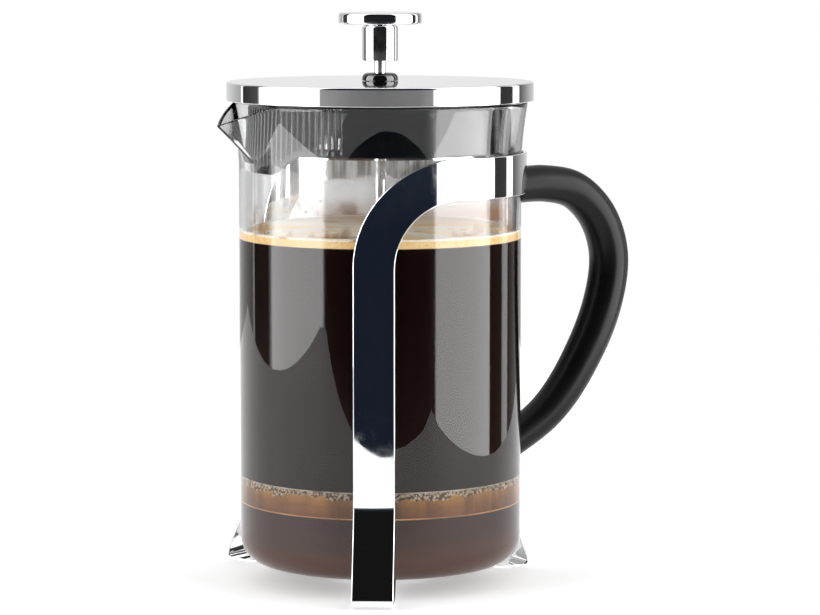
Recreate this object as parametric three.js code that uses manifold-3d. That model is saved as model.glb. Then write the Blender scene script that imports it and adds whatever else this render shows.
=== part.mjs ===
// French press: a spouted glass beaker standing in a polished steel strap frame with a plastic handle,
// a steel lid with a strainer skirt, and a plunger that carries a three-layer filter.
// Millimetres, +Z up, the floor at z = 0. The beaker's axis is the construction axis, the handle is on
// the +X side and the spout on the -X side. The finished group is centred on its own box.
import * as THREE from "three";
import { mergeVertices } from "three/addons/utils/BufferGeometryUtils.js";
import Module from "manifold-3d";

// ---- driving dimensions ----
const GAP = 0.3; // clearance between neighbouring pieces
const ROUND = 48; // sides of a large turned piece
const ROUND_SMALL = 16; // sides of a small turned piece

const BEAKER_R = 50;
const BEAKER_WALL = 2.4;
const BEAKER_RIM_WALL = 1.3;
const BEAKER_BOTTOM_Z = 6;
const BEAKER_CORNER_R = 9.5;
const BEAKER_RIM_Z = 170;
const BEAKER_RIM_R = 52.3;
const FLARE_START_Z = 146;
const PUSH_UP = 1.3; // how far the middle of the bottom is domed up
const PUSH_UP_R = 22;
const SPOUT_START_Z = 150;
const SPOUT_REACH = 63;
const SPOUT_DROP = 7;
const SPOUT_HALF_ANGLE = 24; // degrees, at the rim
const SPOUT_KEEL_ANGLE = 10; // degrees, where the spout starts

const STRAP_W = 14.5;
const STRAP_T = 1.2;
const STRAP_R = 51.3; // radius of the strap's middle surface
const BAND_Z = 145.25; // centre line of the horizontal band
const ARCH_R = 30; // centre line of the bend from band to leg, on the unrolled cylinder
const LEG_ANGLE = 118; // degrees from the handle to each front leg
const FRONT_FOOT = { r: 64.5, flareTopZ: 33 }; // the front legs stand out further than the handle leg
const HANDLE_FOOT = { r: 56, flareTopZ: 19 };
const ARM_Z = 4.9; // centre line of the arms under the beaker
const ARM_END_R = 9;
const LAP_TOP_Z = 145;

const HUB_R = 19;
const HUB_BORE_R = 4;
const HUB_T = 1.5;
const RIVET_R = 1.5;
const RIVET_HEAD_R = 3;
const RIVET_HEAD_T = 0.7;
const RIVET_CIRCLE_R = 13;

const SCREW_R = 1.5;
const SCREW_HEAD_R = 2.6;
const SCREW_HEAD_T = 1.2;
const SCREW_SET_BACK = 0.1; // from the strap's inner face
const UPPER_SCREW = { z: 141.8, length: 15 };
const LOWER_SCREW = { z: 46.8, length: 9 };

// Centre line of the handle as [x, z], from its root at the band to its heel at the leg.
const HANDLE_LINE = [
  [54, 138.8], [66, 139], [78, 136.2], [88, 126.5], [92.7, 112.5],
  [90.4, 95], [81.6, 75], [68, 56.6], [46, 41.6],
];
const HANDLE_HEEL_X = 52.4;
const HANDLE_ROOT_R = 6.5;
const HANDLE_HEEL_R = 6;
const HANDLE_SWELL = 0.95;

const LID_R = 54.3;
const LID_RIM_Z = 170.6;
const LID_TOP_Z = 177.2;
const LID_SHEET = 0.8;
const LID_DOME = 0.2;
const DECK_T = 2; // thickness of the inner lid's top
const SKIRT_R = 46.5;
const SKIRT_WALL = 1.6;
const SKIRT_BOTTOM_Z = 152.7;
const SKIRT_DIP = 6.8; // the skirt is this much deeper under the spout
const SKIRT_DIP_ANGLES = [10, 30]; // degrees from the spout where the deeper stretch tapers off
const SLOT_COUNT = 32;
const SLOT_PITCH = 3.05; // degrees
const SLOT_W = 1.1;
const SLOT_MARGIN = 3; // left standing between a slot and the skirt's lower edge
const SLOT_HIGH_Z = 168.6;
const BUSHING_R = 6.1;
const BUSHING_NECK_R = 5;
const BUSHING_TOP_Z = 180.3;
const BUSHING_LOW_Z = 169.5;
const BUSHING_NUT = { corners: 18, low: 170.6, high: 173.3 };

const ROD_R = 2.05;
const ROD_LOW_Z = 27.2;
const ROD_TOP_Z = 199;
const BORE_R = ROD_R + GAP;
const KNOB_R = 14.7;
const KNOB_Z = 197.4;
const KNOB_TOP_Z = 201.5;
const BARREL_R = 6.35;
const BARREL_LOW_Z = 184.5;

const FILTER_EDGE_R = 47.3;
const SPRING_WIRE_R = 1.6;
const SPRING_Z = 35.2;
const LOCK_NUT = { corners: 9.5, low: 36.8, high: 39.8 };
const SPRING_PLATE_R = 43.6;
const CLOTH = { r: 46.9, low: 32.5, high: 33.1 };
const CROSS_PLATE_R = 45.5;
const CROSS_PLATE_Z = 29.8;
const FILTER_HUB = { r: 5.5, low: 26.6, high: 29.5 };
const PRESSED_T = 1.2; // how far each pressed plate steps up towards its rim

// ---- shared shape helpers ----
const wasm = await Module();
wasm.setup();
const radians = THREE.MathUtils.degToRad;

// A solid of revolution about Z from [radius, height] points.
function turned(points, sides = ROUND) {
  const outline = points.map(([radius, height]) => new THREE.Vector2(radius, height));
  return new THREE.LatheGeometry(outline, sides).rotateX(Math.PI / 2);
}

// A turned ring with a bore: the outline closes on itself.
function turnedRing(points, sides = ROUND) {
  return turned([...points, points[0]], sides);
}

// A plain washer between two radii and two heights.
function washer(inner, outer, low, high, sides = ROUND) {
  return turnedRing([[inner, low], [outer, low], [outer, high], [inner, high]], sides);
}

// A round bar along Z, standing at x, y.
function bar(radius, low, high, x = 0, y = 0, sides = ROUND_SMALL) {
  return turned([[0, low], [radius, low], [radius, high], [0, high]], sides).translate(x, y, 0);
}

// A block between two corners.
function block([x0, y0, z0], [x1, y1, z1]) {
  const size = new THREE.BoxGeometry(x1 - x0, y1 - y0, z1 - z0);
  return size.translate((x0 + x1) / 2, (y0 + y1) / 2, (z0 + z1) / 2);
}

// Points of an arc, angles in degrees.
function arc(cx, cz, radius, from, to, steps) {
  return Array.from({ length: steps + 1 }, (_, i) => {
    const angle = radians(from + ((to - from) * i) / steps);
    return [cx + radius * Math.cos(angle), cz + radius * Math.sin(angle)];
  });
}

// A closed skin through rings that all hold the same even number of points.
// Each ring runs anticlockwise seen against the direction of travel.
function lofted(rings) {
  const n = rings[0].length;
  const last = (rings.length - 1) * n;
  const index = [];
  for (let base = 0; base < last; base += n) {
    for (let i = 0; i < n; i++) {
      const a = base + i;
      const b = base + ((i + 1) % n);
      index.push(a, b, b + n, a, b + n, a + n);
    }
  }
  for (let i = 0; i < n / 2 - 1; i++) {
    const [a, b, c, d] = [i, i + 1, n - 2 - i, n - 1 - i];
    index.push(a, c, b, a, d, c);
    index.push(last + a, last + b, last + c, last + a, last + c, last + d);
  }
  const geometry = new THREE.BufferGeometry().setFromPoints(rings.flat());
  return geometry.setIndex(index);
}

function asSolid(geometry) {
  const bare = geometry.clone();
  bare.deleteAttribute("normal");
  bare.deleteAttribute("uv");
  const merged = mergeVertices(bare, 1e-3);
  const vertProperties = merged.attributes.position.array;
  const triVerts = new Uint32Array(merged.index.array);
  return new wasm.Manifold(new wasm.Mesh({ numProp: 3, vertProperties, triVerts }));
}

// The first geometry with every other one cut out of it.
function cut(geometry, ...cutters) {
  const left = cutters.reduce((body, cutter) => body.subtract(asSolid(cutter)), asSolid(geometry));
  const { vertProperties, triVerts } = left.getMesh();
  const made = new THREE.BufferGeometry();
  made.setAttribute("position", new THREE.BufferAttribute(vertProperties, 3));
  return made.setIndex(new THREE.BufferAttribute(triVerts, 1));
}

// Moves each vertex by change(vertex, degrees away from the spout direction).
function reshaped(geometry, change) {
  const position = geometry.attributes.position;
  const vertex = new THREE.Vector3();
  for (let i = 0; i < position.count; i++) {
    vertex.fromBufferAttribute(position, i);
    const away = Math.abs(THREE.MathUtils.radToDeg(Math.atan2(vertex.y, -vertex.x)));
    change(vertex, away);
    position.setXYZ(i, vertex.x, vertex.y, vertex.z);
  }
  return geometry;
}

// ---- materials ----
const metal = (color, roughness) => new THREE.MeshStandardMaterial({ color, roughness, metalness: 1 });
const plastic = (color, roughness) => new THREE.MeshStandardMaterial({ color, roughness, metalness: 0 });
const polishedSteel = () => metal(0xd9dbde, 0.08);
const plainSteel = () => metal(0xb9bcc0, 0.25);
const blackPlastic = () => plastic(0x17181a, 0.45);
const clearGlass = () =>
  new THREE.MeshStandardMaterial({ color: 0xf2f6f6, roughness: 0.03, transparent: true, opacity: 0.3 });

const press = new THREE.Group();

function addPiece(name, geometry, material) {
  const mesh = new THREE.Mesh(geometry, material);
  mesh.name = name;
  press.add(mesh);
}

// ---- beaker ----
// Outer radius of the glass at a height: straight, then a slow flare to the rim.
function glassRadius(z) {
  const share = Math.max(0, (z - FLARE_START_Z) / (BEAKER_RIM_Z - FLARE_START_Z));
  return BEAKER_R + (BEAKER_RIM_R - BEAKER_R) * share ** 1.8;
}

// The wall thins out towards the rim.
function glassWall(z) {
  const share = Math.max(0, (z - FLARE_START_Z) / (BEAKER_RIM_Z - FLARE_START_Z));
  return THREE.MathUtils.lerp(BEAKER_WALL, BEAKER_RIM_WALL, share);
}

function beaker() {
  const half = BEAKER_RIM_WALL / 2;
  const cornerR = BEAKER_R - BEAKER_CORNER_R;
  const cornerZ = BEAKER_BOTTOM_Z + BEAKER_CORNER_R;
  const rimZ = BEAKER_RIM_Z - half;
  const levels = [FLARE_START_Z, 150, 154, 158, 162, 166, rimZ];
  const outer = levels.map((z) => [glassRadius(z), z]);
  const inner = levels.map((z) => [glassRadius(z) - glassWall(z), z]).reverse();
  const rim = arc(glassRadius(rimZ) - half, rimZ, half, 0, 180, 4).slice(1, -1);
  const floorZ = BEAKER_BOTTOM_Z + BEAKER_WALL;
  const glass = turned([
    [0, BEAKER_BOTTOM_Z + PUSH_UP],
    [PUSH_UP_R, BEAKER_BOTTOM_Z + PUSH_UP],
    ...arc(cornerR, cornerZ, BEAKER_CORNER_R, -90, 0, 5),
    ...outer,
    ...rim,
    ...inner,
    ...arc(cornerR, cornerZ, BEAKER_CORNER_R - BEAKER_WALL, 0, -90, 5),
    [PUSH_UP_R, floorZ + PUSH_UP],
    [0, floorZ + PUSH_UP],
  ]);
  return reshaped(glass, (vertex, away) => {
    const rise = Math.min(1, (vertex.z - SPOUT_START_Z) / (BEAKER_RIM_Z - SPOUT_START_Z));
    if (rise <= 0) return;
    const halfAngle = SPOUT_KEEL_ANGLE + (SPOUT_HALF_ANGLE - SPOUT_KEEL_ANGLE) * rise;
    if (away >= halfAngle) return;
    const lip = rise * (1 - away / halfAngle) ** 1.4;
    const radius = Math.hypot(vertex.x, vertex.y);
    const scale = (radius + (SPOUT_REACH - BEAKER_RIM_R) * lip) / radius;
    vertex.x *= scale;
    vertex.y *= scale;
    vertex.z -= SPOUT_DROP * lip;
  });
}

// ---- strap frame ----
const ACROSS = [-STRAP_W / 2, 0, STRAP_W / 2];
const SECTION = [...ACROSS.map((u) => [u, -STRAP_T / 2]), ...ACROSS.map((u) => [-u, STRAP_T / 2])];

// The strap's section at a point of the unrolled cylinder, s round it and z up, going along heading.
function wrappedRing(s, z, heading) {
  return SECTION.map(([u, v]) => {
    const angle = (s - u * Math.sin(heading)) / STRAP_R;
    const radius = STRAP_R + v;
    return new THREE.Vector3(
      radius * Math.cos(angle),
      radius * Math.sin(angle),
      z + u * Math.cos(heading),
    );
  });
}

// The strap's sections down a leg, given as a path of Vector2(radius, height) in the leg's upright plane.
// The strap is rolled to the beaker's curve on the leg and flattens out towards the foot.
function legRings(path, angle, flareTopZ) {
  const outward = new THREE.Vector3(Math.cos(angle), Math.sin(angle), 0);
  const sideways = new THREE.Vector3(-Math.sin(angle), Math.cos(angle), 0);
  return path.map((point, i) => {
    const before = path[Math.max(i - 1, 0)];
    const after = path[Math.min(i + 1, path.length - 1)];
    const travel = after.clone().sub(before).normalize();
    const rolled = THREE.MathUtils.clamp(point.y / flareTopZ, 0, 1);
    return SECTION.map(([u, v]) => {
      const sag = rolled * STRAP_R * (1 - Math.cos(u / STRAP_R));
      const radius = point.x - travel.y * v - sag;
      const spot = outward.clone().multiplyScalar(radius).addScaledVector(sideways, u);
      return spot.setZ(point.y + travel.x * v);
    });
  });
}

// From the straight leg out to the foot, flat along the floor and in under the beaker.
function addFoot(path, { r, flareTopZ }) {
  const low = STRAP_T / 2;
  const bendZ = 4;
  const slope = 0.36; // how far the straight part of the flare leans out
  path.lineTo(STRAP_R, flareTopZ);
  path.bezierCurveTo(
    STRAP_R, 0.8 * flareTopZ, r - slope * (0.5 * flareTopZ - bendZ), 0.5 * flareTopZ, r, bendZ,
  );
  path.quadraticCurveTo(r + 1, low, r - 3.2, low);
  path.lineTo(r - 4.2, low);
  path.lineTo(r - 10.2, low);
  path.lineTo(r - 11.2, low);
  path.bezierCurveTo(r - 16, low, r - 18, ARM_Z, r - 24, ARM_Z);
  path.lineTo(ARM_END_R, ARM_Z);
  return path.getPoints(6);
}

// A countersunk shape lying along X from the inner face of the strap.
function countersunk(z, length, grow, headStart) {
  const outline = [
    [0, headStart],
    [SCREW_HEAD_R + grow, headStart],
    [SCREW_HEAD_R + grow, 0],
    [SCREW_R + grow, SCREW_HEAD_T],
    [SCREW_R + grow, length + grow],
    [0, length + grow],
  ];
  const start = STRAP_R - STRAP_T / 2 + SCREW_SET_BACK;
  return turned(outline, ROUND_SMALL).rotateY(Math.PI / 2).translate(start, 0, z);
}

const screw = ({ z, length }) => countersunk(z, length, 0, -0.05);
const screwHole = ({ z, length }) => countersunk(z, length, GAP, -1.2);

function rivetSpot(angle) {
  return [RIVET_CIRCLE_R * Math.cos(angle), RIVET_CIRCLE_R * Math.sin(angle)];
}

function rivetHole(angle) {
  return bar(RIVET_R + GAP, 0, BEAKER_BOTTOM_Z, ...rivetSpot(angle), 12);
}

// The band, both arches and both front legs are one strip of steel.
function frameBand() {
  const legAngle = radians(LEG_ANGLE);
  const archStart = legAngle * STRAP_R - ARCH_R;
  const half = [];
  const bandSteps = 14;
  for (let i = 0; i < bandSteps; i++) {
    half.push(wrappedRing((archStart * i) / bandSteps, BAND_Z, 0));
  }
  const archSteps = 8;
  for (let i = 0; i < archSteps; i++) {
    const turn = ((Math.PI / 2) * i) / archSteps;
    const s = archStart + ARCH_R * Math.sin(turn);
    half.push(wrappedRing(s, BAND_Z - ARCH_R * (1 - Math.cos(turn)), -turn));
  }
  const leg = new THREE.Path().moveTo(STRAP_R, BAND_Z - ARCH_R);
  half.push(...legRings(addFoot(leg, FRONT_FOOT), legAngle, FRONT_FOOT.flareTopZ));
  const mirrored = half.slice(1).map((ring) => ring.map((p) => new THREE.Vector3(p.x, -p.y, p.z)));
  const strip = lofted([...mirrored.reverse(), ...half]);
  return cut(strip, screwHole(UPPER_SCREW), rivetHole(legAngle), rivetHole(-legAngle));
}

// The third leg stands under the handle, and its top is set out to lap over the band.
function handleLeg() {
  const lapR = STRAP_R + STRAP_T + GAP;
  const bandLowZ = BAND_Z - STRAP_W / 2;
  const leg = new THREE.Path().moveTo(lapR, LAP_TOP_Z);
  leg.lineTo(lapR, bandLowZ - GAP);
  leg.bezierCurveTo(lapR, bandLowZ - 3, STRAP_R, bandLowZ - 3, STRAP_R, bandLowZ - 6);
  const strip = lofted(legRings(addFoot(leg, HANDLE_FOOT), 0, HANDLE_FOOT.flareTopZ));
  return cut(strip, screwHole(UPPER_SCREW), screwHole(LOWER_SCREW), rivetHole(0));
}

const LEG_ANGLES = [0, LEG_ANGLE, -LEG_ANGLE].map(radians);

function hubPlate() {
  const top = ARM_Z - STRAP_T / 2 - GAP;
  return cut(washer(HUB_BORE_R, HUB_R, top - HUB_T, top, 36), ...LEG_ANGLES.map(rivetHole));
}

function rivet(angle) {
  const armTop = ARM_Z + STRAP_T / 2 + GAP;
  const plateLow = ARM_Z - STRAP_T / 2 - 2 * GAP - HUB_T;
  const outline = [
    [0, plateLow - RIVET_HEAD_T],
    [RIVET_HEAD_R, plateLow - RIVET_HEAD_T],
    [RIVET_HEAD_R, plateLow],
    [RIVET_R, plateLow],
    [RIVET_R, armTop],
    [RIVET_HEAD_R, armTop],
    [RIVET_HEAD_R - 0.6, armTop + RIVET_HEAD_T],
    [0, armTop + RIVET_HEAD_T],
  ];
  return turned(outline, ROUND_SMALL).translate(...rivetSpot(angle), 0);
}

// ---- handle ----
function handle() {
  const curve = new THREE.CatmullRomCurve3(HANDLE_LINE.map(([x, z]) => new THREE.Vector3(x, 0, z)));
  const steps = 26;
  const sides = 16;
  const side = new THREE.Vector3(0, 1, 0);
  const rings = [];
  for (let k = 0; k <= steps; k++) {
    const along = k / steps;
    const centre = curve.getPointAt(along);
    const travel = k ? curve.getTangentAt(along) : new THREE.Vector3(1, 0, 0);
    const up = travel.clone().cross(side);
    const swell = HANDLE_SWELL * Math.sin(Math.PI * along);
    const radius = THREE.MathUtils.lerp(HANDLE_ROOT_R, HANDLE_HEEL_R, along) + swell;
    const ring = [];
    for (let i = 0; i < sides; i++) {
      const angle = (2 * Math.PI * i) / sides;
      const across = side.clone().multiplyScalar(radius * Math.cos(angle));
      ring.push(centre.clone().add(across).addScaledVector(up, radius * Math.sin(angle)));
    }
    rings.push(ring);
  }
  const heelTrim = block([0, -LID_R, 0], [HANDLE_HEEL_X, LID_R, LOWER_SCREW.z + 40]);
  return cut(lofted(rings), heelTrim, screwHole(UPPER_SCREW), screwHole(LOWER_SCREW));
}

// ---- lid ----
function lidCover() {
  const inner = BUSHING_NECK_R + GAP;
  const middle = LID_TOP_Z + LID_DOME;
  return turnedRing([
    [LID_R - LID_SHEET, LID_RIM_Z],
    [LID_R, LID_RIM_Z],
    ...arc(LID_R - 1, LID_TOP_Z - 1, 1, 0, 90, 3),
    [LID_R / 2, LID_TOP_Z + LID_DOME * 0.8],
    [inner, middle],
    [inner, middle - LID_SHEET],
    [LID_R - 1.4, LID_TOP_Z - LID_SHEET],
    [LID_R - LID_SHEET, LID_TOP_Z - 1.4],
  ]);
}

// Height of the skirt's lower edge, by degrees from the spout.
function skirtLowZ(away) {
  return SKIRT_BOTTOM_Z - SKIRT_DIP * (1 - THREE.MathUtils.smoothstep(away, ...SKIRT_DIP_ANGLES));
}

// Black inner lid: a deck with a flange on the glass rim, and a skirt with slots on the spout side.
function strainerInsert() {
  const bore = BUSHING_NECK_R + GAP;
  const flangeR = LID_R - LID_SHEET - GAP;
  const deckTop = LID_TOP_Z - LID_SHEET - 2 * GAP;
  const deckLow = deckTop - DECK_T;
  const ring = turnedRing(
    [
      [SKIRT_R - SKIRT_WALL, SKIRT_BOTTOM_Z],
      [SKIRT_R, SKIRT_BOTTOM_Z],
      [SKIRT_R, BEAKER_RIM_Z + GAP],
      [flangeR, BEAKER_RIM_Z + GAP],
      [flangeR, deckTop - 0.6],
      [flangeR - 0.6, deckTop],
      [bore, deckTop],
      [bore, deckLow],
      [SKIRT_R - SKIRT_WALL, deckLow],
    ],
    72,
  );
  const dipped = reshaped(ring, (vertex, away) => {
    if (vertex.z < SKIRT_BOTTOM_Z + GAP) vertex.z = skirtLowZ(away);
  });
  const slots = Array.from({ length: SLOT_COUNT }, (_, i) => {
    const away = (i - (SLOT_COUNT - 1) / 2) * SLOT_PITCH;
    const low = skirtLowZ(Math.abs(away)) + SLOT_MARGIN;
    const slot = block([-SKIRT_R - 1, -SLOT_W / 2, low], [-SKIRT_R + 3, SLOT_W / 2, SLOT_HIGH_Z]);
    return slot.rotateZ(radians(away));
  });
  return cut(dipped, ...slots);
}

// The guide that the rod runs through, standing on the lid.
function lidBushing() {
  const seat = LID_TOP_Z + LID_DOME + GAP;
  return turnedRing(
    [
      [BORE_R, BUSHING_LOW_Z],
      [BUSHING_NECK_R, BUSHING_LOW_Z],
      [BUSHING_NECK_R, seat],
      [BUSHING_R - 0.5, seat],
      [BUSHING_R, seat + 0.7],
      [BUSHING_R, BUSHING_TOP_Z - 0.9],
      [BUSHING_R - 0.9, BUSHING_TOP_Z],
      [BORE_R, BUSHING_TOP_Z],
    ],
    32,
  );
}

// ---- plunger ----
function knobDisc() {
  const socketTop = ROD_TOP_Z + GAP;
  return turned(
    [
      [0, socketTop],
      [BORE_R, socketTop],
      [BORE_R, KNOB_Z],
      [KNOB_R - 0.8, KNOB_Z],
      [KNOB_R, KNOB_Z + 0.8],
      [KNOB_R, KNOB_TOP_Z - 0.8],
      [KNOB_R - 0.8, KNOB_TOP_Z],
      [0, KNOB_TOP_Z],
    ],
    48,
  );
}

function knobBarrel() {
  const top = KNOB_Z - GAP;
  return turnedRing(
    [
      [BORE_R, BARREL_LOW_Z],
      [BARREL_R - 0.4, BARREL_LOW_Z],
      [BARREL_R, BARREL_LOW_Z + 0.5],
      [BARREL_R, top - 1.2],
      [BARREL_R - 1, top],
      [BORE_R, top],
    ],
    32,
  );
}

function hexNut({ corners, low, high }, bore) {
  return cut(bar(corners / 2, low, high, 0, 0, 6), bar(bore, low - 1, high + 1));
}

// The spring's coils are one fat ring here, the size of the outside of the coils.
function edgeSpring() {
  const ring = new THREE.TorusGeometry(FILTER_EDGE_R - SPRING_WIRE_R, SPRING_WIRE_R, 8, ROUND);
  return ring.translate(0, 0, SPRING_Z);
}

// Evenly spaced round holes on a circle.
function holeRing(count, circleR, holeR, low, high) {
  return Array.from({ length: count }, (_, i) => {
    const angle = (2 * Math.PI * (i + 0.5)) / count;
    return bar(holeR, low, high, circleR * Math.cos(angle), circleR * Math.sin(angle), 12);
  });
}

function springPlate() {
  const low = SPRING_Z - 0.9;
  const sheet = 0.9;
  const plate = turnedRing([
    [BORE_R, low + PRESSED_T],
    [SPRING_PLATE_R - 3, low + PRESSED_T],
    [SPRING_PLATE_R - 1.6, low],
    [SPRING_PLATE_R, low],
    [SPRING_PLATE_R, low + sheet],
    [SPRING_PLATE_R - 1.2, low + sheet],
    [SPRING_PLATE_R - 2.6, low + sheet + PRESSED_T],
    [BORE_R, low + sheet + PRESSED_T],
  ]);
  const outer = holeRing(12, 33, 3.2, low - 1, low + 4);
  const inner = holeRing(8, 19, 2.6, low - 1, low + 4);
  return cut(plate, ...outer, ...inner);
}

// The lowest plate: a rim joined to its hub by four spokes.
function crossPlate() {
  const low = CROSS_PLATE_Z;
  const plate = turnedRing([
    [BORE_R, low],
    [CROSS_PLATE_R - 1.5, low],
    [CROSS_PLATE_R, low + PRESSED_T],
    [CROSS_PLATE_R, low + PRESSED_T + 1],
    [CROSS_PLATE_R - 0.9, low + PRESSED_T + 1],
    [CROSS_PLATE_R - 2, low + PRESSED_T],
    [BORE_R, low + PRESSED_T],
  ]);
  const [hubR, rimR, spokeHalf] = [12, 37, radians(12)];
  const windows = [0, 1, 2, 3].map((quarter) => {
    const from = (quarter * Math.PI) / 2 + spokeHalf;
    const to = ((quarter + 1) * Math.PI) / 2 - spokeHalf;
    const shape = new THREE.Shape();
    shape.absarc(0, 0, rimR, from, to, false);
    shape.absarc(0, 0, hubR, to - 0.12, from + 0.12, true);
    const window = new THREE.ExtrudeGeometry(shape, { depth: 6, bevelEnabled: false, curveSegments: 8 });
    return window.translate(0, 0, low - 2);
  });
  return cut(plate, ...windows);
}

// ---- assembly ----
addPiece("beaker", beaker(), clearGlass());
addPiece("frame_band", frameBand(), polishedSteel());
addPiece("handle_leg_strap", handleLeg(), polishedSteel());
addPiece("hub_plate", hubPlate(), plainSteel());
LEG_ANGLES.forEach((angle, i) => addPiece(`hub_rivet_${i + 1}`, rivet(angle), plainSteel()));
addPiece("handle", handle(), blackPlastic());
addPiece("handle_upper_screw", screw(UPPER_SCREW), plainSteel());
addPiece("handle_lower_screw", screw(LOWER_SCREW), plainSteel());
addPiece("lid_cover", lidCover(), polishedSteel());
addPiece("strainer_insert", strainerInsert(), blackPlastic());
addPiece("lid_bushing", lidBushing(), blackPlastic());
addPiece("bushing_nut", hexNut(BUSHING_NUT, BUSHING_NECK_R + GAP), plainSteel());
addPiece("plunger_rod", bar(ROD_R, ROD_LOW_Z, ROD_TOP_Z), polishedSteel());
addPiece("knob_disc", knobDisc(), polishedSteel());
addPiece("knob_barrel", knobBarrel(), polishedSteel());
addPiece("filter_lock_nut", hexNut(LOCK_NUT, BORE_R), plainSteel());
addPiece("spring_plate", springPlate(), plainSteel());
addPiece("edge_spring", edgeSpring(), plainSteel());
addPiece("filter_mesh", washer(BORE_R, CLOTH.r, CLOTH.low, CLOTH.high), plainSteel());
addPiece("cross_plate", crossPlate(), plainSteel());
addPiece("cross_plate_hub", washer(BORE_R, FILTER_HUB.r, FILTER_HUB.low, FILTER_HUB.high, 24), plainSteel());

// The origin is the middle of the object's box, at its foot.
const box = new THREE.Box3().setFromObject(press);
press.position.set(-(box.min.x + box.max.x) / 2, -(box.min.y + box.max.y) / 2, -box.min.z);

export default press;
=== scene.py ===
import math
import random

import bmesh
import bpy
from mathutils import Matrix, Vector


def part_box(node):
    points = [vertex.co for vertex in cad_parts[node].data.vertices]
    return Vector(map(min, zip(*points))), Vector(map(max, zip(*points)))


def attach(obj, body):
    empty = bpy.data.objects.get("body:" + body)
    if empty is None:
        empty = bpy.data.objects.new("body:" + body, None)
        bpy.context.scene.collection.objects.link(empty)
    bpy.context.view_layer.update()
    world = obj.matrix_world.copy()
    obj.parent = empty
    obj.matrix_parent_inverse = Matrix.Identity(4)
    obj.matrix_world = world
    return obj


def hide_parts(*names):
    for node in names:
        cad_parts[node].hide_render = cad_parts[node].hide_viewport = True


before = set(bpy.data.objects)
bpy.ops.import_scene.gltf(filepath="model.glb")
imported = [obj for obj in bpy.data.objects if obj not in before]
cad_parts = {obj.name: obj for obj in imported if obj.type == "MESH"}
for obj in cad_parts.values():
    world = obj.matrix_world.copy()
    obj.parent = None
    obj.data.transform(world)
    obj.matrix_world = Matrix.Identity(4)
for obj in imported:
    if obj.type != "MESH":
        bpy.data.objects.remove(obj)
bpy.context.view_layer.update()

MM = 0.001
LID_LOW, LID_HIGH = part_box("lid_cover")
AXIS_X = (LID_LOW.x + LID_HIGH.x) / 2

# Camera, as an azimuth about the axis, in degrees, and millimetres.
CAMERA_AZIMUTH = -25.5
CAMERA_DISTANCE = 1250
CAMERA_HEIGHT = 229.6
CAMERA_YAW = 0.4845
CAMERA_PITCH = 6.064
CAMERA_LENS = 155.1

# Driving dimensions, as in the frame.
BEAKER_R = 50
BEAKER_WALL = 2.4
BEAKER_RIM_WALL = 1.3
BEAKER_BOTTOM_Z = 6
BEAKER_CORNER_R = 9.5
BEAKER_RIM_Z = 170
BEAKER_RIM_R = 52.3
FLARE_START_Z = 146
PUSH_UP = 1.3
SPOUT_START_Z = 150
SPOUT_REACH = 62.9
SPOUT_DROP = 7
SPOUT_HALF_ANGLE = 24
SPOUT_KEEL_ANGLE = 10
STRAP_W = 14.5
STRAP_T = 1.2
STRAP_R = 51.3
BAND_Z = 145.25
ARCH_R = 30
LEG_ANGLE = math.radians(118)
FRONT_FOOT = (64.5, 33)
HANDLE_FOOT = (56, 19)
ARM_Z = 4.9
ARM_END_R = 9
LAP_TOP_Z = 145
LID_R = 54.3
LID_RIM_Z = 170.6
LID_TOP_Z = 177.2
LID_DOME = 0.2
SKIRT_R = 46.5
SKIRT_WALL = 1.6
SKIRT_BOTTOM_Z = 152.7
SKIRT_DIP = 6.8
SKIRT_DIP_ANGLES = (10, 30)
SLOT_COUNT = 32
SLOT_PITCH = 3.05
ROD_R = 2.05
BORE_R = 2.35
KNOB_Z = 197.4
KNOB_TOP_Z = 201.5
SPRING_Z = 35.2
FILTER_EDGE_R = 47.3

# Levels of what is in the beaker.
LIQUID_R = BEAKER_R - BEAKER_WALL + 0.2
GROUNDS_TOP_Z = 28.4
FROTH_TOP_Z = 37.4
COFFEE_TOP_Z = 121.7

# The side of the glass that is fogged inside, and how far out to it, in metres, the fog begins and is full.
FOG_AZIMUTH = -5
FOG_CLEAR = 0.031
FOG_FULL = 0.038
CREMA_TOP_Z = 125.1


# ---- mesh helpers ----
def to_frame(point):
    return Vector((point[0] * MM + AXIS_X, point[1] * MM, point[2] * MM))


def make_piece(name, shape, material, body, stands_for=(), sharp=38):
    """A mesh object from (points in mm, faces), riding on a body and standing for CAD nodes."""
    points, faces = shape
    mesh = bpy.data.meshes.new(name)
    mesh.from_pydata([to_frame(p) for p in points], [], faces)
    mesh.polygons.foreach_set("use_smooth", [True] * len(mesh.polygons))
    mesh.set_sharp_from_angle(angle=math.radians(sharp))
    mesh.materials.append(material)
    piece = bpy.data.objects.new(name, mesh)
    bpy.context.scene.collection.objects.link(piece)
    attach(piece, body)
    if stands_for:
        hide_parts(*stands_for)
    return piece


def turned(outline, segments=144, closed=False):
    """A surface of revolution about the axis from (radius, height) points."""
    points, rows = [], []
    for radius, height in outline:
        first = len(points)
        if radius < 1e-6:
            points.append((0, 0, height))
            rows.append([first] * segments)
            continue
        for i in range(segments):
            angle = 2 * math.pi * i / segments
            points.append((radius * math.cos(angle), radius * math.sin(angle), height))
        rows.append(list(range(first, first + segments)))
    faces = []
    pairs = list(zip(rows, rows[1:])) + ([(rows[-1], rows[0])] if closed else [])
    for low, high in pairs:
        for i in range(segments):
            j = (i + 1) % segments
            corners = list(dict.fromkeys([low[i], low[j], high[j], high[i]]))
            if len(corners) > 2:
                faces.append(corners)
    return points, faces


EDGE_SUPPORT = 0.1  # a point this far beyond each rounding keeps the flat next to it shaded flat


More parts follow.
